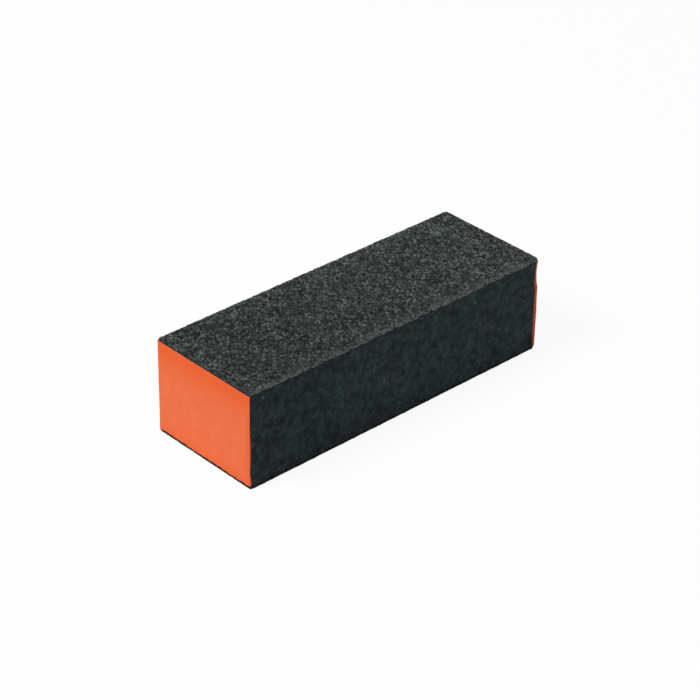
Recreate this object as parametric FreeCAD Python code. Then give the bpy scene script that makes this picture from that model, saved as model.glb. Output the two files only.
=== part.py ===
"""Three-way nail sanding block: a foam bar with abrasive paper on its top, its bottom and one long side.

The origin is the middle of the footprint, on the surface that the block stands on. +X runs along the block,
the finer sheet on the front faces -Y, the bare grip side faces +Y and +Z is up.
"""
import FreeCAD, Part
import os

# Driving dimensions, in millimetres
block_length = 95.0  # along X, from cut end to cut end
block_width = 33.6  # along Y, from the bare side to the outside of the front sheet
block_height = 26.0  # along Z, from the outside of the bottom sheet to the outside of the top sheet

film_thickness = 0.08  # adhesive between the foam and a sheet's paper
paper_thickness = 0.14  # backing paper of a sheet
coarse_coat_thickness = 0.34  # resin and coarse grain on the top and bottom sheets
fine_coat_thickness = 0.22  # resin and finer grain on the front sheet

coarse_rim_radius = 0.22  # worn edge round the outside of a coarse coat
fine_rim_radius = 0.10  # worn edge round the outside of the fine coat
rim_limit = 0.90  # a worn edge rounds at most this share of its coat's thickness

front_setback = 1.05  # the front sheet stops this far short of the far end

# Places worked out from the driving dimensions
coarse_sheet_thickness = film_thickness + paper_thickness + coarse_coat_thickness
fine_sheet_thickness = film_thickness + paper_thickness + fine_coat_thickness

near_end = -block_length / 2
far_end = block_length / 2
bare_side = block_width / 2
front_side = -block_width / 2
front_seat = front_side + fine_sheet_thickness  # foam face that carries the front sheet
top_seat = block_height - coarse_sheet_thickness  # foam face that carries the top sheet
bottom_seat = coarse_sheet_thickness  # foam face that carries the bottom sheet

up = FreeCAD.Vector(0, 0, 1)
down = FreeCAD.Vector(0, 0, -1)
frontward = FreeCAD.Vector(0, -1, 0)


def slab(x_span, y_span, z_span):
    """A box between the lowest and highest coordinate of each span."""
    spans = (x_span, y_span, z_span)
    lowest_corner = FreeCAD.Vector(*(low for low, high in spans))
    sides = [high - low for low, high in spans]
    return Part.makeBox(*sides, lowest_corner)


def layer_spans(seat, outward, thicknesses):
    """The spans of layers laid one on another, from the seat's coordinate along outward, which is 1 or -1."""
    spans = []
    for thickness in thicknesses:
        outside = seat + outward * thickness
        spans.append((min(seat, outside), max(seat, outside)))
        seat = outside
    return spans


def with_worn_rim(coat, outward, rim_radius, thickness):
    """The coat with the edges of its outermost face rounded, by no more than its thickness allows."""
    outer_face = max(coat.Faces, key=lambda face: face.CenterOfMass.dot(outward))
    return coat.makeFillet(min(rim_radius, rim_limit * thickness), outer_face.Edges)


def foam_bar():
    """The closed-cell foam core: it fills the space between the three sheets and is bare on its back and ends."""
    return slab((near_end, far_end), (front_seat, bare_side), (bottom_seat, top_seat))


def flat_sheet(seat, outward):
    """A coarse sheet on the top or bottom: adhesive film, backing paper and grit coat, from the foam outwards.

    It runs over the foam and over the edge of the front sheet.
    """
    thicknesses = (film_thickness, paper_thickness, coarse_coat_thickness)
    film_span, paper_span, coat_span = layer_spans(seat, outward.z, thicknesses)
    length_span = (near_end, far_end)
    width_span = (front_side, bare_side)
    film = slab(length_span, width_span, film_span)
    paper = slab(length_span, width_span, paper_span)
    coat = slab(length_span, width_span, coat_span)
    return film, paper, with_worn_rim(coat, outward, coarse_rim_radius, coarse_coat_thickness)


def side_sheet():
    """The finer front sheet: it stands against the foam, between the films of the top and bottom sheets."""
    thicknesses = (film_thickness, paper_thickness, fine_coat_thickness)
    film_span, paper_span, coat_span = layer_spans(front_seat, frontward.y, thicknesses)
    length_span = (near_end, far_end - front_setback)
    height_span = (bottom_seat, top_seat)
    film = slab(length_span, film_span, height_span)
    paper = slab(length_span, paper_span, height_span)
    coat = slab(length_span, coat_span, height_span)
    return film, paper, with_worn_rim(coat, frontward, fine_rim_radius, fine_coat_thickness)


pieces = {"foam_core": foam_bar()}
sheets = {
    "top": flat_sheet(top_seat, up),
    "front": side_sheet(),
    "bottom": flat_sheet(bottom_seat, down),
}
for place, (film, paper, coat) in sheets.items():
    pieces[place + "_adhesive_film"] = film
    pieces[place + "_backing_paper"] = paper
    pieces[place + "_grit_coat"] = coat

os.makedirs("parts", exist_ok=True)
for node, shape in pieces.items():
    shape.exportStep("parts/" + node + ".step")
    print(node, "volume", round(shape.Volume, 1), "mm3")
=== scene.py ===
# %% [markdown]
# # A three-way nail sanding block
# The block is a bar of orange foam with abrasive paper glued to its top, its bottom and one long side.
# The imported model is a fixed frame: ten flat solids, each with its real size and place. This script
# gives each of them the surface that the real piece has, in the same place. The block's sizes are in
# millimetres here, and are turned into metres only when a mesh is made. The floor and the lamp are
# placed in metres.

# %% Load the frame
import math
from itertools import product

import bpy
import numpy as np
from mathutils import Matrix, Vector


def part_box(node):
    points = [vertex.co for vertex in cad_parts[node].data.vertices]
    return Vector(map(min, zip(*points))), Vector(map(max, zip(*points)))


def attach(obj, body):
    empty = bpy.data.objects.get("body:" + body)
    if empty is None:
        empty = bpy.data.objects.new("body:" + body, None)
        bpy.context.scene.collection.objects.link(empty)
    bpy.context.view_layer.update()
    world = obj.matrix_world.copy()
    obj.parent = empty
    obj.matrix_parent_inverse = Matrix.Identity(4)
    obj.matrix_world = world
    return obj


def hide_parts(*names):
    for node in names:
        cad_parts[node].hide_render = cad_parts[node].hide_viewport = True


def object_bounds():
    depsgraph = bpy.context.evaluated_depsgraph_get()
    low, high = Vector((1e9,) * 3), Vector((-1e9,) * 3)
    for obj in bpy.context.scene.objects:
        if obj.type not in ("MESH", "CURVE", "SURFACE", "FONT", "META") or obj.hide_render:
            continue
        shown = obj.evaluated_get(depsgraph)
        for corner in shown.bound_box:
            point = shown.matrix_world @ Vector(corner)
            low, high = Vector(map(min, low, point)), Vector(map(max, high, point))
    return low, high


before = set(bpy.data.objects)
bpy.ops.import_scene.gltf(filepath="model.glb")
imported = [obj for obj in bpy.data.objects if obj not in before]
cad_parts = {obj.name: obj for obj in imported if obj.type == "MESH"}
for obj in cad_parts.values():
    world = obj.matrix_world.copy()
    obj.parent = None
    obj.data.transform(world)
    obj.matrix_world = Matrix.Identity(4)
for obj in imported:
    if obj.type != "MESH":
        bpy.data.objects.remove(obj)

CAD_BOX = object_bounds()
METRE = 1000.0
print("CAD nodes:", sorted(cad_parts))


def node_span(node):
    """The lowest and highest corner of a CAD node, as two arrays in millimetres."""
    low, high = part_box(node)
    return np.array(low) * METRE, np.array(high) * METRE


# %% [markdown]
# ## From arrays to meshes
# Every piece here is worked out as whole arrays of points and faces. One helper puts such arrays into a
# mesh, lets the piece ride on the block's only body and hides the CAD solid that it stands for. Another
# keeps a number with each point or face, so that a finish can read it later. The third gives the faces
# of a closed tube, which is the form of the foam and of the flat layers. Modifiers could do some of
# this, but arrays keep every piece tied to the frame's sizes.

# %% Helpers for pieces
BODY = "root"
TURNED_OVER = [0, 3, 2, 1]


def make_piece(node, slot, points, faces, material):
    """A new piece in place of a CAD node: points in millimetres, and faces as lists of point numbers."""
    mesh = bpy.data.meshes.new(node + "_surface")
    mesh.from_pydata(points / METRE, [], faces)
    mesh.materials.append(material)
    piece = bpy.data.objects.new(node + "_surface", mesh)
    bpy.context.scene.collection.objects.link(piece)
    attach(piece, BODY)
    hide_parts(node)
    triangles = sum(len(face) - 2 for face in faces)
    print(piece.name, "points:", len(points), "triangles:", triangles)
    return piece


def keep_numbers(piece, name, domain, values):
    """A named number for each point or each face of a piece."""
    numbers = piece.data.attributes.new(name, "FLOAT", domain)
    numbers.data.foreach_set("value", values.astype(np.float32))


def tube_faces(shape, clockwise=False):
    """Faces of a closed tube. Its points are numbered as a grid of places round it by levels up it, and
    the last place joins the first. A quad lies between each four neighbours, and one face closes each
    end. Where the places run clockwise, seen from the last level, every face is turned over."""
    number = np.arange(shape[0] * shape[1]).reshape(shape)
    around = np.vstack([number, number[:1]])
    quads = np.stack([around[:-1, :-1], around[1:, :-1], around[1:, 1:], around[:-1, 1:]], axis=-1)
    bottom = number[:, 0]
    top = number[:, -1]
    if clockwise:
        quads = quads[..., TURNED_OVER]
        bottom, top = top, bottom
    return quads.reshape(-1, 4).tolist() + [bottom[::-1].tolist(), top.tolist()]


# %% [markdown]
# ## Uneven by hand and by use
# Nothing on a cut and used block is quite even: the foam's faces wave, paper tears along its cut, resin
# pools and edges wear in lumps. A displacement texture could move the finished meshes, but one small
# noise function in numpy serves every piece before its mesh is made, and gives the same result on each
# run.

# %% Helpers for noise


def smooth_noise(rng, u, v, cell_u, cell_v):
    """Noise from -1 to 1: random values on a lattice of the given cell sizes, blended between its four
    corners with the smooth weight 3t^2 - 2t^3."""
    along = (u - u.min()) / cell_u
    across = (v - v.min()) / cell_v
    i = along.astype(int)
    j = across.astype(int)
    s = along - i
    t = across - j
    s = s * s * (3 - 2 * s)
    t = t * t * (3 - 2 * t)
    lattice = rng.uniform(-1, 1, (i.max() + 2, j.max() + 2))
    near = lattice[i, j] * (1 - s) + lattice[i + 1, j] * s
    far = lattice[i, j + 1] * (1 - s) + lattice[i + 1, j + 1] * s
    return near * (1 - t) + far * t


def raised_noise(rng, u, v, cell_u, cell_v):
    """Smooth noise, halved and raised so that it lies between 0 and 1."""
    return 0.5 + 0.5 * smooth_noise(rng, u, v, cell_u, cell_v)


def edge_noise(rng, along, cell):
    """Raised noise that changes along an edge only. The other direction is flat, and any cell will do
    there."""
    return raised_noise(rng, along, 0 * along, cell, 1.0)


# %% [markdown]
# ## Node helpers
# A material is a small tree of nodes. These helpers add a node and join two sockets, so that each finish
# below reads as a short list of what it is made of. Patterns use Object coordinates, which are metres
# here, so a pattern of one millimetre has a scale of a thousand.

# %% Helpers for materials


def new_material(name):
    """A material with an empty tree, its Principled shader and the position on the piece."""
    material = bpy.data.materials.new(name)
    material.use_nodes = True
    tree = material.node_tree
    tree.nodes.clear()
    output = tree.nodes.new("ShaderNodeOutputMaterial")
    shader = tree.nodes.new("ShaderNodeBsdfPrincipled")
    place = tree.nodes.new("ShaderNodeTexCoord")
    tree.links.new(shader.outputs["BSDF"], output.inputs["Surface"])
    return material, tree, shader, place.outputs["Object"]


def join(tree, source, target):
    """A link from an output socket to an input socket."""
    tree.links.new(source, target)


def noise_of(tree, place, size_mm, detail=2.0, stretch=(1, 1, 1)):
    """A noise pattern whose blobs are about size_mm across, drawn out along an axis by stretch."""
    mapping = tree.nodes.new("ShaderNodeMapping")
    mapping.inputs["Scale"].default_value = [1 / s for s in stretch]
    noise = tree.nodes.new("ShaderNodeTexNoise")
    noise.inputs["Scale"].default_value = METRE / size_mm
    noise.inputs["Detail"].default_value = detail
    join(tree, place, mapping.inputs["Vector"])
    join(tree, mapping.outputs["Vector"], noise.inputs["Vector"])
    return noise.outputs["Fac"]


def kept_number(tree, name):
    """The number that a piece keeps under this name."""
    node = tree.nodes.new("ShaderNodeAttribute")
    node.attribute_name = name
    return node.outputs["Fac"]


# %% [markdown]
# ## Values, colours and bumps
# A finish turns a pattern into a share, mixes two colours by that share, and lets the pattern stand out
# as a bump. One helper does each of these, because the same few nodes are needed again and again.

# %% Helpers for values, colours and bumps


def ranged(tree, value, limits, low_out=0.0, high_out=1.0):
    """The value carried from the range between two limits to another range, and held at its ends."""
    node = tree.nodes.new("ShaderNodeMapRange")
    node.inputs["From Min"].default_value, node.inputs["From Max"].default_value = limits
    node.inputs["To Min"].default_value = low_out
    node.inputs["To Max"].default_value = high_out
    join(tree, value, node.inputs["Value"])
    return node.outputs["Result"]


def calculated(tree, operation, first, second):
    """Two values put together by a Math node's operation."""
    node = tree.nodes.new("ShaderNodeMath")
    node.operation = operation
    join(tree, first, node.inputs[0])
    join(tree, second, node.inputs[1])
    return node.outputs["Value"]


def blended(tree, share, first, second):
    """A colour between two colours, each a tuple or a socket, by a share from 0 to 1."""
    node = tree.nodes.new("ShaderNodeMix")
    node.data_type = "RGBA"
    join(tree, share, node.inputs["Factor"])
    for colour, socket in ((first, node.inputs["A"]), (second, node.inputs["B"])):
        if isinstance(colour, tuple):
            socket.default_value = (*colour, 1)
        else:
            join(tree, colour, socket)
    return node.outputs["Result"]


def bumped(tree, height, depth_mm, strength, before=None):
    """A bump of the given depth, on top of an earlier one if there is one."""
    node = tree.nodes.new("ShaderNodeBump")
    node.inputs["Distance"].default_value = depth_mm / METRE
    node.inputs["Strength"].default_value = strength
    join(tree, height, node.inputs["Height"])
    if before is not None:
        join(tree, before, node.inputs["Normal"])
    return node.outputs["Normal"]


# %% [markdown]
# ## Orange foam
# The core is closed-cell foam: tiny bubbles, cut open by the blade, so the cut face is matt, evenly
# orange and very finely pitted, and the open cells are painted a deeper orange as painted shade. Along
# the sheets the blade squeezes it, and painted shade deepens the orange there. The dark line under the
# near end is wider than a sheet's edge, so the foam is also painted dark a little way up from its foot.
# Cells and faint lines from the blade are far finer than the mesh, so they are colour and bump in the
# material.

# %% Foam finish
FOAM_ORANGE = (0.760, 0.162, 0.060)
# The deeper orange is the foam's own in blotches, and painted shade in its cells and along the sheets.
FOAM_DEEP_AND_SHADED = (0.740, 0.098, 0.016)
FOAM_CELL = 0.16
FOAM_CELL_LIMITS = (0.0, 0.5)
# Painted shade in the open cells: how much deeper orange their middles are.
FOAM_CELL_SHADE = 0.3
FOAM_CELL_BUMP = dict(depth_mm=0.04, strength=0.3)
FOAM_BLOTCH = 2.5
FOAM_BLOTCH_LIMITS = (0.35, 0.70)
FOAM_BLOTCH_TINT = 0.3
FOAM_BLADE_LINE = 0.25
FOAM_BLADE_STRETCH = (1, 30, 1)
FOAM_BLADE_BUMP = dict(depth_mm=0.03, strength=0.25)
FOAM_ROUGHNESS = 0.85
FOAM_SHINE = 0.2
# The foam is painted dark along its foot: how dark, up to what height, in what lumps, and how soft its
# top is.
FOOT_DARK = (0.016, 0.012, 0.010)
FOOT_DARK_HEIGHT = (0.14, 0.40)
FOOT_DARK_LUMP = 1.5
FOOT_DARK_LUMP_LIMITS = (0.35, 0.65)
FOOT_DARK_FADE = 0.06


def foam_dark_foot(tree, place):
    """How dark the foam is painted along its foot, from 0 to 1: full up to a height above the bottom
    sheet that rises and falls with noise, and none a little higher."""
    axes = tree.nodes.new("ShaderNodeSeparateXYZ")
    join(tree, place, axes.inputs["Vector"])
    foot = node_span("foam_core")[0][2]
    low, high = ((foot + height) / METRE for height in FOOT_DARK_HEIGHT)
    limit = ranged(tree, noise_of(tree, place, FOOT_DARK_LUMP), FOOT_DARK_LUMP_LIMITS, low, high)
    over = calculated(tree, "SUBTRACT", axes.outputs["Z"], limit)
    return ranged(tree, over, (0.0, FOOT_DARK_FADE / METRE), 1.0, 0.0)


def foam_finish():
    """Orange that turns to the deeper orange in soft blotches, and by painted shade in the open cells
    and along the sheets, and is painted dark along the foam's foot."""
    material, tree, shader, place = new_material("orange_closed_cell_foam")
    cells = tree.nodes.new("ShaderNodeTexVoronoi")
    cells.inputs["Scale"].default_value = METRE / FOAM_CELL
    join(tree, place, cells.inputs["Vector"])
    blotch = noise_of(tree, place, FOAM_BLOTCH, detail=3)
    blade = noise_of(tree, place, FOAM_BLADE_LINE, detail=1, stretch=FOAM_BLADE_STRETCH)
    tint = ranged(tree, blotch, FOAM_BLOTCH_LIMITS, 0.0, FOAM_BLOTCH_TINT)
    # Painted shade in the open cells.
    cell_shade = ranged(tree, cells.outputs["Distance"], FOAM_CELL_LIMITS, FOAM_CELL_SHADE, 0.0)
    colour = blended(tree, tint, FOAM_ORANGE, FOAM_DEEP_AND_SHADED)
    colour = blended(tree, cell_shade, colour, FOAM_DEEP_AND_SHADED)
    # Painted shade deepens the orange along the sheets.
    colour = blended(tree, kept_number(tree, "shade_by_sheet"), colour, FOAM_DEEP_AND_SHADED)
    # The foam is painted dark along its foot.
    colour = blended(tree, foam_dark_foot(tree, place), colour, FOOT_DARK)
    join(tree, colour, shader.inputs["Base Color"])
    normal = bumped(tree, blade, **FOAM_BLADE_BUMP)
    normal = bumped(tree, cells.outputs["Distance"], **FOAM_CELL_BUMP, before=normal)
    join(tree, normal, shader.inputs["Normal"])
    shader.inputs["Roughness"].default_value = FOAM_ROUGHNESS
    shader.inputs["Specular IOR Level"].default_value = FOAM_SHINE
    return material


# %% [markdown]
# ## Foam strip
# Three sides of the bar are bare: the near end, the back and the far end. They are one strip that runs
# round the bar in plan, so their surface is a grid of distance along that strip by height. The upright
# corners are slightly round, and the rows lie closer together at the soft upper and lower edges. A box
# with bevels would be quicker, but it has no points between its edges to wave and pit.

# %% Foam strip in plan and height
FOAM_CORNER = 0.35
FOAM_EDGE = 0.06
FOAM_STEP_END = 0.20
FOAM_STEP_SIDE = 0.30
FOAM_STEP_UP = 0.20
CORNER_POINTS = 5
EDGE_POINTS = 4


def foam_strip(low, high):
    """Plan of the strip: a straight run up the near end, a quarter circle, a run along the back, another
    quarter circle and a run down the far end. Returns each point's place in plan and its outward
    direction."""
    reach = high[1] - FOAM_CORNER - low[1]
    run = high[0] - low[0] - 2 * FOAM_CORNER
    up_end = np.linspace(0, reach, round(reach / FOAM_STEP_END))
    along = np.linspace(0, run, round(run / FOAM_STEP_SIDE))
    turn = np.linspace(0, math.pi / 2, CORNER_POINTS)[1:-1]
    zero = np.zeros_like(up_end)
    near_end = np.stack([zero + low[0], low[1] + up_end, zero - 1, zero], axis=1)
    far_end = np.stack([zero + high[0], high[1] - FOAM_CORNER - up_end, zero + 1, zero], axis=1)
    zero = np.zeros_like(along)
    back = np.stack([low[0] + FOAM_CORNER + along, zero + high[1], zero, zero + 1], axis=1)
    out = np.stack([-np.cos(turn), np.sin(turn)], axis=1)
    near_turn = np.hstack([out * FOAM_CORNER + [low[0] + FOAM_CORNER, high[1] - FOAM_CORNER], out])
    out = np.stack([np.sin(turn), np.cos(turn)], axis=1)
    far_turn = np.hstack([out * FOAM_CORNER + [high[0] - FOAM_CORNER, high[1] - FOAM_CORNER], out])
    strip = np.vstack([near_end, near_turn, back, far_turn, far_end])
    return strip[:, :2], strip[:, 2:]


def foam_heights(low, high):
    """Heights of the rows: close together at the soft edges and evenly spread between them."""
    edge = FOAM_EDGE * (1 - np.cos(np.linspace(0, math.pi / 2, EDGE_POINTS)))
    count = round((high - low) / FOAM_STEP_UP)
    middle = np.linspace(low + FOAM_EDGE, high - FOAM_EDGE, count)[1:-1]
    return np.concatenate([low + edge, middle, high - edge[::-1]])


# %% [markdown]
# ## Cuts through the foam
# A knife never cuts foam quite flat, so the strip has slow waves, quick waves and small pits. In the
# photograph the far end's front edge is drawn in a little below the top, so the cut wanders in there.
# Sculpting would do as well for one block, but a sum of simple humps is easy to read and to change.

# %% Foam cuts
FOAM_WAVES = (
    dict(along=9.0, up=7.0, depth=0.030),
    dict(along=1.7, up=1.3, depth=0.015),
)
FOAM_SINK = 0.045
FOAM_PIT = 0.035
FOAM_PIT_SPREAD = 0.5
FOAM_WANDERS = (
    dict(height=22.5, half_height=4.6, depth=0.80),
    dict(height=16.5, half_height=5.0, depth=0.18),
)
WANDER_REACH = 7.0
FOAM_SEED = 11
foam_rng = np.random.default_rng(FOAM_SEED)


def foam_waves(along, level):
    """How far the cut lies off the flat: slow waves, quick waves and random pits, all sunk in by the
    height of the waves, so that nothing stands out of the bar's box."""
    offset = np.full(along.shape, -FOAM_SINK)
    for wave in FOAM_WAVES:
        offset += wave["depth"] * smooth_noise(foam_rng, along, level, wave["along"], wave["up"])
    pits = np.clip(foam_rng.normal(0, FOAM_PIT_SPREAD, along.shape), 0, None) ** 2
    return offset - FOAM_PIT * pits


def wander(wanders, level, away):
    """How far a cut wanders in: a sum of parabolas of the height, which fades out evenly away from the
    corner."""
    inward = np.zeros_like(level)
    for hump in wanders:
        off = (level - hump["height"]) / hump["half_height"]
        inward += hump["depth"] * np.clip(1 - off ** 2, 0, 1)
    return inward * np.clip(1 - away / WANDER_REACH, 0, 1)


# %% [markdown]
# ## Foam bar
# The bar is the strip's plan, repeated at each height. The sides under the sheets are flat and hidden,
# and only close the solid. Each point also keeps a number for the painted shade that deepens the orange
# along the sheets, because the material can't tell by itself how far away a sheet is.

# %% Foam bar
# Painted shade along each sheet: its share at the sheet and how far it reaches.
FOAM_SHEET_SHADES = dict(
    top=dict(share=0.80, reach=5.0),
    front=dict(share=0.60, reach=1.4),
    bottom=dict(share=0.35, reach=2.2),
)


def foam_sheet_shade(points, low, high):
    """How deep the painted shade along the sheets makes the orange, from 0 to 1: for each sheet a share
    over one plus the cube of distance over reach, and the largest of the three."""
    across, level = points[..., 1], points[..., 2]
    from_sheets = dict(top=high[2] - level, front=across - low[1], bottom=level - low[2])
    shade_depths = []
    for sheet, shade_of_sheet in FOAM_SHEET_SHADES.items():
        shade_depths.append(shade_of_sheet["share"] / (1 + (from_sheets[sheet] / shade_of_sheet["reach"]) ** 3))
    return np.max(shade_depths, axis=0)


def foam_bar():
    """The strip's plan is repeated at each height and moved along its outward direction: in by the
    quarter circle of the soft edge, in or out by the waves, which fade out at the edges, and in where
    the cut wanders. Returns the points, the faces and the numbers of the painted shade along the sheets."""
    low, high = node_span("foam_core")
    plan, outward = foam_strip(low, high)
    heights = foam_heights(low[2], high[2])
    steps = np.linalg.norm(np.diff(plan, axis=0), axis=1)
    distance = np.concatenate([[0], np.cumsum(steps)])
    along, level = np.meshgrid(distance, heights, indexing="ij")
    to_edge = np.minimum(level - low[2], high[2] - level)
    fade = np.clip(to_edge / FOAM_EDGE, 0, 1)
    soft = FOAM_EDGE * (1 - np.sqrt(1 - (1 - fade) ** 2))
    offset = foam_waves(along, level) * fade - soft - wander(FOAM_WANDERS, level, distance[-1] - along)
    points = np.empty((*along.shape, 3))
    points[..., :2] = plan[:, None, :] + outward[:, None, :] * offset[..., None]
    points[..., 2] = level
    shade_by_sheet = foam_sheet_shade(points, low, high)
    return points.reshape(-1, 3), tube_faces(along.shape, clockwise=True), shade_by_sheet.ravel()


foam_points, foam_faces, foam_shade_by_sheet = foam_bar()
foam_piece = make_piece("foam_core", "orange_foam", foam_points, foam_faces, foam_finish())
keep_numbers(foam_piece, "shade_by_sheet", "POINT", foam_shade_by_sheet)
foam_piece.data.shade_smooth()

# %% [markdown]
# ## Paper and adhesive
# Under the grit each sheet has a dark backing paper and a film of adhesive. Only their cut edges show,
# as a dark line round the foam. Paper is matt and fibrous, and adhesive is smoother and has a slight
# shine. Plain black would do from afar, but two finishes tell the layers apart close up.

# %% Paper and adhesive finishes
PAPER_DARK = (0.008, 0.009, 0.010)
PAPER_PALE = (0.024, 0.027, 0.029)
PAPER_FIBRE = 0.12
PAPER_FIBRE_STRETCH = (3, 3, 1)
PAPER_FIBRE_LIMITS = (0.45, 0.75)
PAPER_BUMP = dict(depth_mm=0.03, strength=0.5)
PAPER_ROUGHNESS = 0.9
PAPER_SHINE = 0.15
ADHESIVE_DARK = (0.007, 0.007, 0.008)
ADHESIVE_PALE = (0.016, 0.016, 0.017)
ADHESIVE_STREAK = 0.6
ADHESIVE_STREAK_LIMITS = (0.4, 0.7)
ADHESIVE_BUMP = dict(depth_mm=0.02, strength=0.3)
ADHESIVE_ROUGHNESS = 0.5
ADHESIVE_SHINE = 0.25


def paper_finish():
    """Near black with paler fibres that lie along the sheet."""
    material, tree, shader, place = new_material("dark_backing_paper")
    fibres = noise_of(tree, place, PAPER_FIBRE, detail=3, stretch=PAPER_FIBRE_STRETCH)
    share = ranged(tree, fibres, PAPER_FIBRE_LIMITS)
    join(tree, blended(tree, share, PAPER_DARK, PAPER_PALE), shader.inputs["Base Color"])
    join(tree, bumped(tree, fibres, **PAPER_BUMP), shader.inputs["Normal"])
    shader.inputs["Roughness"].default_value = PAPER_ROUGHNESS
    shader.inputs["Specular IOR Level"].default_value = PAPER_SHINE
    return material


def adhesive_finish():
    """Near black with soft paler streaks."""
    material, tree, shader, place = new_material("dark_adhesive_film")
    streaks = noise_of(tree, place, ADHESIVE_STREAK, detail=2)
    share = ranged(tree, streaks, ADHESIVE_STREAK_LIMITS)
    join(tree, blended(tree, share, ADHESIVE_DARK, ADHESIVE_PALE), shader.inputs["Base Color"])
    join(tree, bumped(tree, streaks, **ADHESIVE_BUMP), shader.inputs["Normal"])
    shader.inputs["Roughness"].default_value = ADHESIVE_ROUGHNESS
    shader.inputs["Specular IOR Level"].default_value = ADHESIVE_SHINE
    return material


# %% [markdown]
# ## Sheets lie on three faces
# A sheet is easiest to think of as lying flat, with a length, a width and a height above the foam. Each
# face of the block turns that flat sheet its own way, so one function makes all three.

# %% Places of the sheets
LENGTHWAYS = np.array([1.0, 0.0, 0.0])
FACES = {
    "top": (LENGTHWAYS, np.array([0.0, 1.0, 0.0]), np.array([0.0, 0.0, 1.0])),
    "front": (LENGTHWAYS, np.array([0.0, 0.0, 1.0]), np.array([0.0, -1.0, 0.0])),
    "bottom": (LENGTHWAYS, np.array([0.0, -1.0, 0.0]), np.array([0.0, 0.0, -1.0])),
}


def sheet_size(place, node):
    """Length, width and thickness of a layer as it lies on its face, and its corner in the block's
    frame."""
    low, high = node_span(node)
    corner = np.zeros(3)
    size = []
    for way in FACES[place]:
        size.append(abs(way @ (high - low)))
        corner += way * min(way @ low, way @ high)
    return size, corner


def laid_on(place, corner, u, v, w):
    """Points of a flat sheet, with u along it, v across it and w above the foam, turned onto a face."""
    along, across, above = FACES[place]
    return corner + u[..., None] * along + v[..., None] * across + w[..., None] * above


# %% [markdown]
# ## Worn corners and uneven ends
# Use rounds the corners of the top and bottom sheets, each by its own amount. In the photograph the far
# front corner of the top is worn most, and a little of the foam's corner shows past it. The front sheet
# follows the cuts at its ends: at the far end it wanders by other amounts than the foam, so the orange
# line beside it changes in width, and at the near end it is short in two places. All layers of a sheet
# are trimmed by one function, so that they stay together.

# %% Trimming a sheet
SIDE_CORNER_WEAR = 0.25
CORNER_WEAR = {
    "top": dict(near_front=1.4, far_front=2.0, near_back=1.2, far_back=0.8),
    "bottom": dict(near_front=0.9, far_front=1.5, near_back=0.9, far_back=0.8),
}
FAR_WANDERS = (
    dict(height=22.5, half_height=5.5, depth=0.52),
    dict(height=11.0, half_height=13.0, depth=0.28),
)
NEAR_WANDERS = (
    dict(height=10.5, half_height=5.0, depth=0.20),
    dict(height=1.6, half_height=2.4, depth=0.36),
)
NEARLY_NONE = 1e-9


def corner_wear(place, u, v, length, width):
    """The radius of the sheet's nearest corner. The front sheet's corners are alike, and each corner of
    the top and bottom sheets has its own wear."""
    if place == "front":
        return np.full_like(u, SIDE_CORNER_WEAR)
    wear = CORNER_WEAR[place]
    at_front = v < width / 2 if place == "top" else v > width / 2
    at_far = u > length / 2
    front_wear = np.where(at_far, wear["far_front"], wear["near_front"])
    back_wear = np.where(at_far, wear["far_back"], wear["near_back"])
    return np.where(at_front, front_wear, back_wear)


def trimmed(place, corner, u, v, length, width):
    """Rounds the sheet's corners. Within the corner's radius a point lies some share of it out along the
    sheet and some share across. The pair of shares is shortened from the square round the arc to the arc
    itself, so that the larger share becomes the pair's length. The front sheet is also drawn in where
    its cuts wander."""
    radius = corner_wear(place, u, v, length, width)
    out_u = np.clip(np.abs(u - length / 2) - length / 2 + radius, 0, None) / radius
    out_v = np.clip(np.abs(v - width / 2) - width / 2 + radius, 0, None) / radius
    pair = np.maximum(np.hypot(out_u, out_v), NEARLY_NONE)
    shorten = np.where(np.minimum(out_u, out_v) > 0, np.maximum(out_u, out_v) / pair, 1)
    u = u - np.sign(u - length / 2) * radius * out_u * (1 - shorten)
    v = v - np.sign(v - width / 2) * radius * out_v * (1 - shorten)
    if place == "front":
        level = corner[2] + v
        u = u + wander(NEAR_WANDERS, level, u) - wander(FAR_WANDERS, level, length - u)
    return u, v


# %% [markdown]
# ## Cut layers
# A cut through paper is never clean: fibres stick out and break off, while adhesive is drawn into a
# smoother, wavy line. Each layer is an outline carried up through the layer's thickness, and the outline
# is moved in by noise: fine and rough for paper, long and soft for adhesive. A thin box would be enough
# from afar, but its edge would be a ruled line.

# %% Cut layers
LAYER_STEP = 0.30
LAYER_LEVELS = 3
PAPER_CUT = dict(rough_length=0.35, rough_depth=0.05, wave_length=4.0, wave_depth=0.03)
FILM_CUT = dict(rough_length=0.9, rough_depth=0.03, wave_length=5.0, wave_depth=0.07)
LAYER_SEED = 23
layer_rng = np.random.default_rng(LAYER_SEED)


def cut_outline(length, width):
    """Points round a rectangle, and at each the direction inwards, which is diagonal at the corners."""
    u_count = round(length / LAYER_STEP)
    v_count = round(width / LAYER_STEP)
    u = np.linspace(0, length, u_count + 1)
    v = np.linspace(0, width, v_count + 1)
    u_round = np.concatenate([u[:-1], np.full(v_count, length), u[:0:-1], np.zeros(v_count)])
    v_round = np.concatenate([np.zeros(u_count), v[:-1], np.full(u_count, width), v[:0:-1]])
    inward_u = (u_round == 0) * 1.0 - (u_round == length)
    inward_v = (v_round == 0) * 1.0 - (v_round == width)
    return u_round, v_round, inward_u, inward_v


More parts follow.
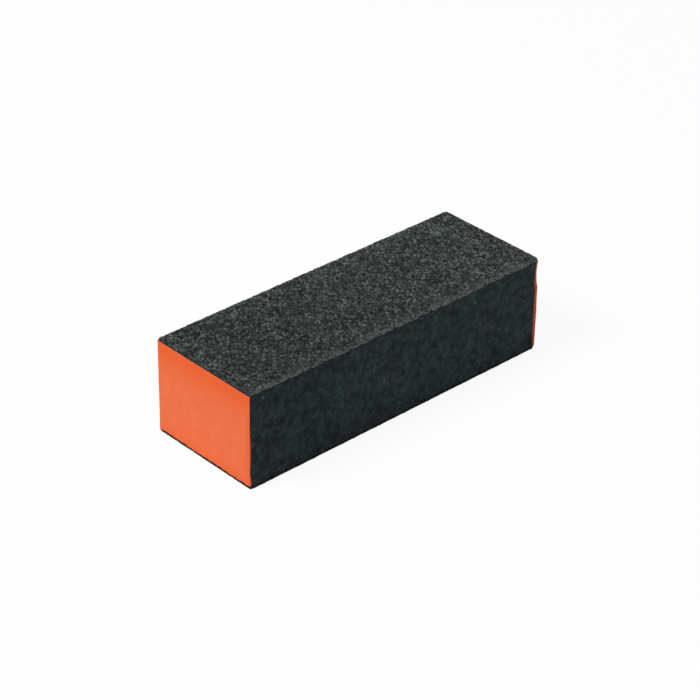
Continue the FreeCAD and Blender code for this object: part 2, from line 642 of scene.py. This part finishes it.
def cut_layer(place, node, cut):
    """A flat layer: its outline at the bottom, middle and top of its thickness, moved in by fine noise
    that differs from level to level and by a long wave that is the same on all of them."""
    (length, width, thickness), corner = sheet_size(place, node)
    u, v, inward_u, inward_v = cut_outline(length, width)
    u, v = trimmed(place, corner, u, v, length, width)
    distance = np.arange(len(u)) * LAYER_STEP
    levels = np.linspace(0, thickness, LAYER_LEVELS)
    along, level = np.meshgrid(distance, levels, indexing="ij")
    rough = cut["rough_depth"] * raised_noise(layer_rng, along, level, cut["rough_length"], levels[1])
    wave = cut["wave_depth"] * edge_noise(layer_rng, along, cut["wave_length"])
    inward = rough + wave
    cut_u = u[:, None] + inward * inward_u[:, None]
    cut_v = v[:, None] + inward * inward_v[:, None]
    points = laid_on(place, corner, cut_u, cut_v, level)
    return points.reshape(-1, 3), tube_faces(along.shape)


paper = paper_finish()
adhesive = adhesive_finish()
for place in FACES:
    film_node = place + "_adhesive_film"
    paper_node = place + "_backing_paper"
    make_piece(film_node, "adhesive", *cut_layer(place, film_node, FILM_CUT), adhesive)
    make_piece(paper_node, "backing_paper", *cut_layer(place, paper_node, PAPER_CUT), paper)

# %% [markdown]
# ## Crushed grain
# The grit is crushed silicon carbide: sharp, blocky splinters, thrown onto wet resin so that they stand
# at all angles, and held by a second coat of resin. Many thousand separate rocks would be heavy and
# would cut through each other, so the coat is one closed surface whose height is worked out from the
# grains. A grain is the space under a few planes, which keeps its facets flat and its edges sharp. Here
# and there a grain is missing.

# %% Grain relief
# A pair of numbers is the least and the most. Grains stand a pitch apart, and the points of the mesh lie
# closer. How far a grain is moved and how far its sides lie out are shares of the pitch.
SIDES = 5
SIDE_SWING = 0.3
LATTICE_BEFORE = (2, 1)
LATTICE_AFTER = (3, 2)
NEAR_GRAINS = tuple(product((-2, -1, 0, 1), (-1, 0, 1)))
COARSE = dict(pitch=0.62, shift=0.42, missing=0.14, tall=(0.22, 0.34), tilt=1.2, reach=(0.36, 0.60),
              steep=(0.9, 2.4), resin=0.04, resin_wave=0.03, mesh=0.185, seed=37)
FINE = dict(pitch=0.45, shift=0.42, missing=0.05, tall=(0.09, 0.20), tilt=0.5, reach=(0.40, 0.74),
            steep=(0.14, 0.35), resin=0.06, resin_wave=0.02, mesh=0.162, seed=41)


def grain_shapes(grit, shape, rng):
    """Random grains, one to a lattice square: how far each is moved, its height, the tilt of its top,
    and the direction, reach and slope of its sides."""
    move = rng.uniform(-grit["shift"], grit["shift"], (2, *shape))
    tall = rng.uniform(*grit["tall"], shape) * (rng.random(shape) > grit["missing"])
    tilt = rng.uniform(-grit["tilt"], grit["tilt"], (2, *shape))
    swing = rng.uniform(-SIDE_SWING, SIDE_SWING, (SIDES, *shape))
    turn = rng.uniform(0, SIDES, shape) + np.arange(SIDES)[:, None, None] + swing
    angle = turn * 2 * math.pi / SIDES
    reach = rng.uniform(*grit["reach"], (SIDES, *shape))
    steep = rng.uniform(*grit["steep"], (SIDES, *shape))
    return move, tall, tilt, np.cos(angle), np.sin(angle), reach, steep


def crushed_grain(u, v, grit, rng):
    """The lattice starts a little before the sheet and ends a little after it, and every other row is
    half a square along. A grain's height over a point is the lowest of its planes there: a tilted top
    and five steep sides. The coat is as high as the tallest grain near the point. Returns that height,
    the number of the grain and how many grains there are."""
    along = u / grit["pitch"]
    across = v / grit["pitch"]
    before_i, before_j = LATTICE_BEFORE
    after_i, after_j = LATTICE_AFTER
    home_i = along.astype(int) + before_i
    home_j = across.astype(int) + before_j
    shape = (home_i.max() + after_i, home_j.max() + after_j)
    move, tall, tilt, side_u, side_v, reach, steep = grain_shapes(grit, shape, rng)
    best = np.zeros_like(u)
    owner = np.zeros(u.shape, int)
    for step_i, step_j in NEAR_GRAINS:
        i = home_i + step_i
        j = home_j + step_j
        away_u = along - (i - before_i + 0.5 + 0.5 * (j % 2) + move[0, i, j])
        away_v = across - (j - before_j + 0.5 + move[1, i, j])
        grain = tall[i, j] * (1 + tilt[0, i, j] * away_u + tilt[1, i, j] * away_v)
        for side in range(SIDES):
            out = away_u * side_u[side, i, j] + away_v * side_v[side, i, j]
            grain = np.minimum(grain, steep[side, i, j] * (reach[side, i, j] - out))
        higher = grain > best
        best = np.where(higher, grain, best)
        owner = np.where(higher, i * shape[1] + j, owner)
    return best, owner, shape[0] * shape[1]


# %% [markdown]
# ## Grid of a coat
# The relief needs a mesh that shows no rows. It is a grid over the sheet with every point moved at
# random, and each square is split along a random diagonal. Along the cuts the blade has broken grains
# out, so the outer points are pulled in by different amounts, and by more along the two edges beside the
# front sheet, which use has worn.

# %% Coat grid
CUT_LOSS = dict(depth=0.14, length=0.5)
WORN_LOSS = dict(depth=0.40, length=1.3)
CUT_FADE = 0.6
POINT_MOVE = 0.34
WORN_EDGES = {"top": (True, False), "front": (False, False), "bottom": (False, True)}


def cut_loss(place, u, v, rng):
    """How far the points are pulled in from the near end, the far end and the two long edges: the square
    of smooth noise along the edge, which is larger and slower along a worn edge."""
    losses = []
    for along, is_worn in zip((v, v, u, u), (False, False, *WORN_EDGES[place])):
        loss = WORN_LOSS if is_worn else CUT_LOSS
        losses.append(loss["depth"] * edge_noise(rng, along, loss["length"]) ** 2)
    return losses


def moved_grid(place, length, width, grit, rng):
    """A grid over the sheet with each inner point moved by up to a third of its spacing, and the outer
    ones pulled in by the loss along the cuts, which fades out from the edge."""
    step = grit["mesh"]
    columns = round(length / step) + 1
    rows = round(width / step) + 1
    u, v = np.meshgrid(np.linspace(0, length, columns), np.linspace(0, width, rows), indexing="ij")
    inner = np.zeros(u.shape)
    inner[1:-1, 1:-1] = 1
    u = u + rng.uniform(-POINT_MOVE, POINT_MOVE, u.shape) * step * inner
    v = v + rng.uniform(-POINT_MOVE, POINT_MOVE, v.shape) * step * inner
    loss = cut_loss(place, u, v, rng)
    fade = [np.clip(1 - reach / CUT_FADE, 0, 1) for reach in (u, length - u, v, width - v)]
    u = u + loss[0] * fade[0] - loss[1] * fade[1]
    v = v + loss[2] * fade[2] - loss[3] * fade[3]
    return u, v


def split_squares(shape, rng):
    """Two triangles for each square of the grid, cut along one diagonal or the other at random."""
    number = np.arange(shape[0] * shape[1]).reshape(shape)
    corners = (number[:-1, :-1], number[1:, :-1], number[1:, 1:], number[:-1, 1:])
    a, b, c, d = (corner.ravel() for corner in corners)
    falling = rng.integers(0, 2, (len(a), 1)) == 1
    first = np.where(falling, np.stack([a, b, d], 1), np.stack([a, b, c], 1))
    second = np.where(falling, np.stack([b, c, d], 1), np.stack([a, c, d], 1))
    return np.stack([first, second], 1).reshape(-1, 3), number


# %% [markdown]
# ## Height of a coat
# The grains stand in a wavy bed of resin, which the blade smears into a low lip at both ends. Grains at
# the rim are broken or loose, so the coat falls away in a small curve all round, and in a wider one
# along the worn edges. A bevel on the finished mesh would smooth the grains as well, so the height is
# lowered before there is a mesh.

# %% Coat height
RESIN_CELL = 0.5
LIP_HEIGHT = 0.20
LIP_REACH = 0.35
RIM_ROUND = 0.85
RIM_DOWN = 0.75
WORN_ROUND = 1.3
WORN_DOWN = 0.85


def worn_edge(place, v, width, reach):
    """1 at a worn long edge, falling evenly to 0 at the reach from it."""
    worn = np.zeros_like(v)
    for is_worn, distance in zip(WORN_EDGES[place], (v, width - v)):
        if is_worn:
            worn = np.maximum(worn, np.clip(1 - distance / reach, 0, 1))
    return worn


def coat_height(place, u, v, length, width, thickness, grit, rng):
    """The relief of the grains or the bed of resin, whichever is higher. It is lowered by a quarter
    ellipse all round, about as wide as a grain, and by a wider one along the worn edges. Returns the
    height, the grain of each point, the number of grains and where the bed shows."""
    grains, owner, count = crushed_grain(u, v, grit, rng)
    bed = grit["resin"] + grit["resin_wave"] * smooth_noise(rng, u, v, RESIN_CELL, RESIN_CELL)
    to_end = np.clip(np.minimum(u, length - u), 0, None)
    to_side = np.clip(np.minimum(v, width - v), 0, None)
    bed += LIP_HEIGHT * np.clip(1 - to_end / LIP_REACH, 0, 1)
    rim = np.clip(1 - np.minimum(to_end, to_side) / (RIM_ROUND * grit["pitch"]), 0, 1)
    worn = worn_edge(place, v, width, WORN_ROUND)
    lowered = np.sqrt(1 - RIM_DOWN * rim ** 2) * np.sqrt(1 - WORN_DOWN * worn ** 2)
    height = np.minimum(np.maximum(grains, bed), thickness) * lowered
    return height, owner, count, grains < bed


# %% [markdown]
# ## Shades of the grains
# Each grain has its own shade of black or grey, and a rare one is painted pale, for a glint off a facet
# and for the odd pale grain. In the photograph the shades also rise and fall in soft patches, and the
# top is lighter towards its near end and its back edge. Painted light makes the top lighter towards its
# far end and a little towards the back, and the front a little darker towards its far end. Painted shade
# darkens the front side along its foot. A noise texture would run across the grains, so a shade is
# worked out for each grain and kept with its faces.

# %% Grain shades
# A patch has a size and a share. A painted light drift is along and across the sheet. An edge has a
# share and a reach.
COARSE_TONE = dict(
    # A pale grain is a painted glint off a facet, and also the odd pale grain.
    bed=0.012, low=0.174, high=0.745, power=2.6, pale=0.002,
    patches=((0.9, 0.44), (6.0, 0.20)),
    # Painted light: the top grows lighter towards its far end and a little towards its back.
    painted_light_drift=(0.32, 0.04),
    edges=dict(near=(0.24, 6.0), second=(0.24, 2.2)),
)
FINE_TONE = dict(
    # A pale grain is a painted glint off a facet, and also the odd pale grain.
    bed=0.137, low=0.190, high=0.540, power=55.0, pale=0.002,
    patches=((0.9, 0.64), (1.8, 0.35)),
    # Painted light: the front grows a little darker towards its far end.
    painted_light_drift=(-0.03, 0.0),
    # Painted shade along the front sheet's foot.
    edges=dict(first=(-0.45, 2.5)),
)


def shade_patches(u, v, tone, rng):
    """How much lighter or darker a place is than the rest: noise of two sizes, each on a lattice that is
    turned by a random angle, a painted light that drifts evenly along and across the sheet, and for some
    edges a share that fades by a power of e with the distance, which is painted shade along the front
    sheet's foot."""
    patch = np.zeros_like(u)
    for cell, share in tone["patches"]:
        turn = rng.uniform(0, math.pi / 2)
        along = u * math.cos(turn) + v * math.sin(turn)
        across = v * math.cos(turn) - u * math.sin(turn)
        patch += share * smooth_noise(rng, along, across, cell, cell)
    # Painted light: an even slope of shade along and across the sheet.
    painted_light_along, painted_light_across = tone["painted_light_drift"]
    patch += painted_light_along * (u / u.max() - 0.5) + painted_light_across * (v / v.max() - 0.5)
    from_edges = dict(near=u, far=u.max() - u, first=v, second=v.max() - v)
    # Lighter or darker towards some edges; along the front sheet's foot this is painted shade.
    for edge, (share, reach) in tone["edges"].items():
        patch += share * np.exp(-from_edges[edge] / reach)
    return patch


def grain_shades(u, v, triangles, height, owner, count, in_bed, tone, rng):
    """A face takes the shade of the grain at its highest point, or of the bed where that is resin.
    Shades are spread by a power of a random number, a few grains are painted pale, for glints off facets
    and for the odd pale grain, and all rise and fall with the patches."""
    of_grain = tone["low"] + (tone["high"] - tone["low"]) * rng.random(count) ** tone["power"]
    # A few grains painted pale: glints off facets, and the odd pale grain.
    of_grain[rng.random(count) < tone["pale"]] = 1
    top_point = triangles[np.arange(len(triangles)), np.argmax(height[triangles], axis=1)]
    shade = np.where(in_bed[top_point], tone["bed"], of_grain[owner[top_point]])
    patch = shade_patches(u, v, tone, rng)
    return np.clip(shade * (1 + patch[top_point]), 0, 1)


# %% [markdown]
# ## A map for the coat's picture
# The shades of the grains can be stored in a picture that is laid over the mesh. The relief lies flat in
# that picture as it is seen from above. The walls lie in two strips beside it, and the underside beside
# those. Blender can unfold a mesh by itself, but that is slow for this many faces, and the flat sheet is
# known anyway.

# %% Coat map
MAP_GAP = 1.5
MAP_WALL = 3.0


def map_coat(piece, u, v, triangles, ring, length, width):
    """Places in the picture, from 0 to 1: millimetres on the flat sheet, moved to the part's own area
    and divided by the sheet's length with a gap at both ends. The ring of walls is cut into two strips
    as long as the sheet."""
    relief = np.stack([u, v], 1)[triangles].reshape(-1, 2)
    step = 2 * length / len(ring)
    start = np.arange(len(ring)) * step
    second_strip = start >= length
    left = np.where(second_strip, start - length, start)
    foot = width + MAP_GAP + np.where(second_strip, MAP_WALL + MAP_GAP, 0)
    right = left + step
    head = foot + MAP_WALL
    corners = [(left, head), (left, foot), (right, foot), (right, head)]
    walls = np.stack([np.stack(corner, 1) for corner in corners], 1).reshape(-1, 2)
    underside_foot = width + 3 * MAP_GAP + 2 * MAP_WALL
    underside = np.stack([u[ring], underside_foot + v[ring]], 1)[::-1]
    picture = (np.vstack([relief, walls, underside]) + MAP_GAP) / (length + 2 * MAP_GAP)
    layout = piece.data.uv_layers.new(name="OFBake")
    layout.data.foreach_set("uv", picture.astype(np.float32).ravel())


# %% [markdown]
# ## Grit coat
# The coat is a sheet of the grain relief with walls round it and a flat underside on the paper. Along
# the worn edges the grains are rubbed pale, over a width that changes in lumps, and each point keeps a
# number for that.

# %% Grit coat
WORN_PALE = 3.0
WORN_PALE_LEAST = 0.3
WORN_PALE_LUMP = 1.4
WORN_PALE_HOLD = 1.6
WALL_SHADE = 0.1


def closed_coat(triangles, number):
    """The relief's triangles, a wall under each edge of the grid's rim and one flat underside. Returns
    these faces and the points round the rim."""
    ring = np.concatenate([number[:-1, 0], number[-1, :-1], number[:0:-1, -1], number[0, :0:-1]])
    under = number.size + np.arange(len(ring))
    walls = np.stack([ring, under, np.roll(under, -1), np.roll(ring, -1)], 1)
    return triangles.tolist() + walls.tolist() + [under[::-1].tolist()], ring


def rubbed_pale(place, u, v, width, rng):
    """How pale the wear has made a point, from 0 to 1: it falls off from the worn edge over a reach that
    noise makes longer or shorter, and is held at 1 over the first part of it."""
    lump = raised_noise(rng, u, v, WORN_PALE_LUMP, WORN_PALE_LUMP)
    reach = WORN_PALE * (WORN_PALE_LEAST + lump)
    return np.clip(WORN_PALE_HOLD * worn_edge(place, v, width, reach), 0, 1)


def grit_coat(place, slot, grit, tone, finish):
    """A coat made from a sheet's moved grid, the height of its grains and a closed mesh, with its own
    random numbers. Its faces keep their grain's shade, and its points how pale they are rubbed."""
    node = place + "_grit_coat"
    rng = np.random.default_rng(grit["seed"] + len(place))
    (length, width, thickness), corner = sheet_size(place, node)
    u, v = moved_grid(place, length, width, grit, rng)
    u, v = trimmed(place, corner, u, v, length, width)
    height, owner, count, in_bed = coat_height(place, u, v, length, width, thickness, grit, rng)
    triangles, number = split_squares(u.shape, rng)
    u, v, height, owner, in_bed = (x.ravel() for x in (u, v, height, owner, in_bed))
    faces, ring = closed_coat(triangles, number)
    all_w = np.append(height, np.zeros(len(ring)))
    points = laid_on(place, corner, np.append(u, u[ring]), np.append(v, v[ring]), all_w)
    piece = make_piece(node, slot, points, faces, finish)

    shade = grain_shades(u, v, triangles, height, owner, count, in_bed, tone, rng)
    wall_shades = np.full(len(faces) - len(triangles), WALL_SHADE)
    keep_numbers(piece, "grain_shade", "FACE", np.append(shade, wall_shades))
    pale = rubbed_pale(place, u, v, width, rng)
    keep_numbers(piece, "edge_wear", "POINT", np.append(pale, np.zeros(len(ring))))
    map_coat(piece, u, v, triangles, ring, length, width)


# %% [markdown]
# ## Grit finishes
# Silicon carbide is black to grey and glassy, and resin is black. A facet that faces the lamp glints, so
# the grains are smoother than the resin. In wide soft areas the grey has a slightly different tinge, and
# worn edges are rubbed pale in small lumps. The front sheet's grit is finer and more even than that of
# the top and bottom sheets, so it has a finish of its own, from the same function.

# %% Grit finishes
GRIT_SPECK = 0.10
GRIT_BUMP = dict(depth_mm=0.02, strength=0.3)
GRIT_GLASS_LIMITS = (0.0, 0.6)
GRIT_ROUGHNESS = (0.60, 0.38)
GRIT_SHINE = 0.06
TINGE_SIZE = 14.0
TINGE_LIMITS = (0.4, 0.6)
RUB_LUMP = 0.85
RUB_LIMITS = (0.36, 0.62)
WORN_GREY = (0.089, 0.099, 0.100)


def grit_finish(name, dark, light, tinged):
    """Black to grey by the grain's shade, with a slightly different grey in wide soft areas, paler in
    lumps where the edge is worn, and with glassy grains in dull resin."""
    material, tree, shader, place = new_material(name)
    shade = kept_number(tree, "grain_shade")
    area = ranged(tree, noise_of(tree, place, TINGE_SIZE, detail=1), TINGE_LIMITS)
    colour = blended(tree, shade, dark, blended(tree, area, light, tinged))
    rubbed = ranged(tree, noise_of(tree, place, RUB_LUMP, detail=1), RUB_LIMITS)
    scuff = calculated(tree, "MULTIPLY", kept_number(tree, "edge_wear"), rubbed)
    join(tree, blended(tree, scuff, colour, WORN_GREY), shader.inputs["Base Color"])
    join(tree, ranged(tree, shade, GRIT_GLASS_LIMITS, *GRIT_ROUGHNESS), shader.inputs["Roughness"])
    speck = noise_of(tree, place, GRIT_SPECK, detail=2)
    join(tree, bumped(tree, speck, **GRIT_BUMP), shader.inputs["Normal"])
    shader.inputs["Specular IOR Level"].default_value = GRIT_SHINE
    return material


COARSE_COLOURS = dict(
    dark=(0.004, 0.005, 0.005),
    light=(0.1405, 0.173, 0.1625),
    tinged=(0.154, 0.170, 0.158),
)
FINE_COLOURS = dict(
    dark=(0.003, 0.005, 0.006),
    light=(0.106, 0.152, 0.174),
    tinged=(0.087, 0.161, 0.174),
)
coarse_finish = grit_finish("coarse_black_grit", **COARSE_COLOURS)
fine_finish = grit_finish("fine_black_grit", **FINE_COLOURS)
grit_coat("top", "coarse_grit", COARSE, COARSE_TONE, coarse_finish)
grit_coat("bottom", "coarse_grit", COARSE, COARSE_TONE, coarse_finish)
grit_coat("front", "fine_grit", FINE, FINE_TONE, fine_finish)

# %% [markdown]
# ## White floor
# The photograph has a plain white ground. The floor is white paint, and camera and mirror rays see it
# mostly as plain white, so that it stays white under modest light and still keeps a soft shadow. A
# brighter lamp would make plain paint white too, but would wash out the block.

# %% Floor
FLOOR_SIZE = 4.0
FLOOR_SHADOW = 0.07
FLOOR_CORNERS = ((-1, -1, 0), (1, -1, 0), (1, 1, 0), (-1, 1, 0))
FLOOR_PAINT = (0.95, 0.95, 0.95, 1)


def seen_directly(tree):
    """1 for rays from the camera, from mirror reflections and through clear pieces, and 0 for the
    rest."""
    path = tree.nodes.new("ShaderNodeLightPath")
    total = path.outputs["Is Camera Ray"]
    for kind in ("Is Glossy Ray", "Is Transmission Ray"):
        total = calculated(tree, "MAXIMUM", total, path.outputs[kind])
    return total


def white_paint():
    """White paint, mixed with plain white for the rays that see it directly."""
    material = bpy.data.materials.new("white_floor")
    material.use_nodes = True
    tree = material.node_tree
    tree.nodes.clear()
    output = tree.nodes.new("ShaderNodeOutputMaterial")
    paint = tree.nodes.new("ShaderNodeBsdfDiffuse")
    paint.inputs["Color"].default_value = FLOOR_PAINT
    white = tree.nodes.new("ShaderNodeEmission")
    white.inputs["Strength"].default_value = 1.0
    keep = tree.nodes.new("ShaderNodeMixShader")
    keep.inputs["Fac"].default_value = FLOOR_SHADOW
    join(tree, white.outputs["Emission"], keep.inputs[1])
    join(tree, paint.outputs["BSDF"], keep.inputs[2])
    seen = tree.nodes.new("ShaderNodeMixShader")
    join(tree, seen_directly(tree), seen.inputs["Fac"])
    join(tree, paint.outputs["BSDF"], seen.inputs[1])
    join(tree, keep.outputs["Shader"], seen.inputs[2])
    join(tree, seen.outputs["Shader"], output.inputs["Surface"])
    return material


def white_floor():
    """One square, flat under the block."""
    mesh = bpy.data.meshes.new("floor")
    mesh.from_pydata(np.array(FLOOR_CORNERS) * FLOOR_SIZE / 2, [], [[0, 1, 2, 3]])
    mesh.materials.append(white_paint())
    floor = bpy.data.objects.new("floor", mesh)
    bpy.context.scene.collection.objects.link(floor)
    print("floor side:", FLOOR_SIZE, "m")


white_floor()

# %% [markdown]
# ## Studio light
# In the photograph the end and the top are lit from the upper left, and the long front side only by
# light from the room and the white ground. One broad lamp stands up and to the left, a little behind,
# and a dim white surrounding fills the rest. More lamps could be set round the block, but one keeps its
# sides apart in tone.

# %% Lamp and surroundings
SURROUNDING = 0.27
WHITE = (1, 1, 1, 1)
KEY_WAY = Vector((-0.50, 0.15, 0.62)).normalized()
KEY_DISTANCE = 1.8
KEY_SIDE = 0.5
KEY_WATTS = 26.0


def studio_light():
    """A square lamp that faces the block from the given way, and a surrounding that is dim for the block
    and white for the rays that see it directly."""
    world = bpy.data.worlds.new("studio")
    bpy.context.scene.world = world
    world.use_nodes = True
    tree = world.node_tree
    background = tree.nodes["Background"]
    background.inputs["Color"].default_value = WHITE
    strength = ranged(tree, seen_directly(tree), (0.0, 1.0), SURROUNDING, 1.0)
    join(tree, strength, background.inputs["Strength"])
    lamp = bpy.data.lights.new("key_lamp", "AREA")
    lamp.shape = "SQUARE"
    lamp.size = KEY_SIDE
    lamp.energy = KEY_WATTS
    key = bpy.data.objects.new("key_lamp", lamp)
    bpy.context.scene.collection.objects.link(key)
    key.location = KEY_WAY * KEY_DISTANCE
    key.rotation_mode = "QUATERNION"
    key.rotation_quaternion = KEY_WAY.to_track_quat("Z", "Y")
    print("lamp:", KEY_WATTS, "W at", KEY_DISTANCE, "m")


studio_light()

# %% [markdown]
# ## Camera
# The camera looks down at about 32 degrees, with the near end to the left, through a long lens that
# hardly tapers the block. It could be lined up by eye, but it was worked out from the block's edges in
# the photograph.

# %% Camera
PICTURE_SIDE = 700
FOCAL_PIXELS = 2400.0
SENSOR_WIDTH = 36.0
AZIMUTH = -43.332
ELEVATION = 31.744
ROLL = 1.074
DISTANCE = 584.45
MIDDLE_PIXELS = (3.701, -6.905)
CLIP_START = 0.01


def place_camera():
    """The camera looks along a line at the given azimuth and elevation, is rolled about it, and is moved
    sideways so that the block's middle falls where the photograph has it."""
    a, e, r = (math.radians(x) for x in (AZIMUTH, ELEVATION, ROLL))
    back = Vector((math.sin(a) * math.cos(e), -math.cos(a) * math.cos(e), math.sin(e)))
    level = Vector((math.cos(a), math.sin(a), 0))
    steep = back.cross(level)
    right = level * math.cos(r) + steep * math.sin(r)
    up = steep * math.cos(r) - level * math.sin(r)
    low, high = (np.array(x) * METRE for x in CAD_BOX)
    middle = Vector((low + high) / 2)
    pixel = DISTANCE / FOCAL_PIXELS
    aside, above = MIDDLE_PIXELS
    spot = middle + back * DISTANCE - right * aside * pixel + up * above * pixel
    data = bpy.data.cameras.new("camera")
    data.sensor_width = SENSOR_WIDTH
    data.lens = FOCAL_PIXELS / PICTURE_SIDE * SENSOR_WIDTH
    data.clip_start = CLIP_START
    camera = bpy.data.objects.new("camera", data)
    bpy.context.scene.collection.objects.link(camera)
    turn = Matrix((right, up, back)).transposed().to_4x4()
    camera.matrix_world = Matrix.Translation(spot / METRE) @ turn
    bpy.context.scene.camera = camera
    print("camera lens:", round(data.lens, 1), "mm")


place_camera()
bpy.context.scene.view_settings.view_transform = "Standard"
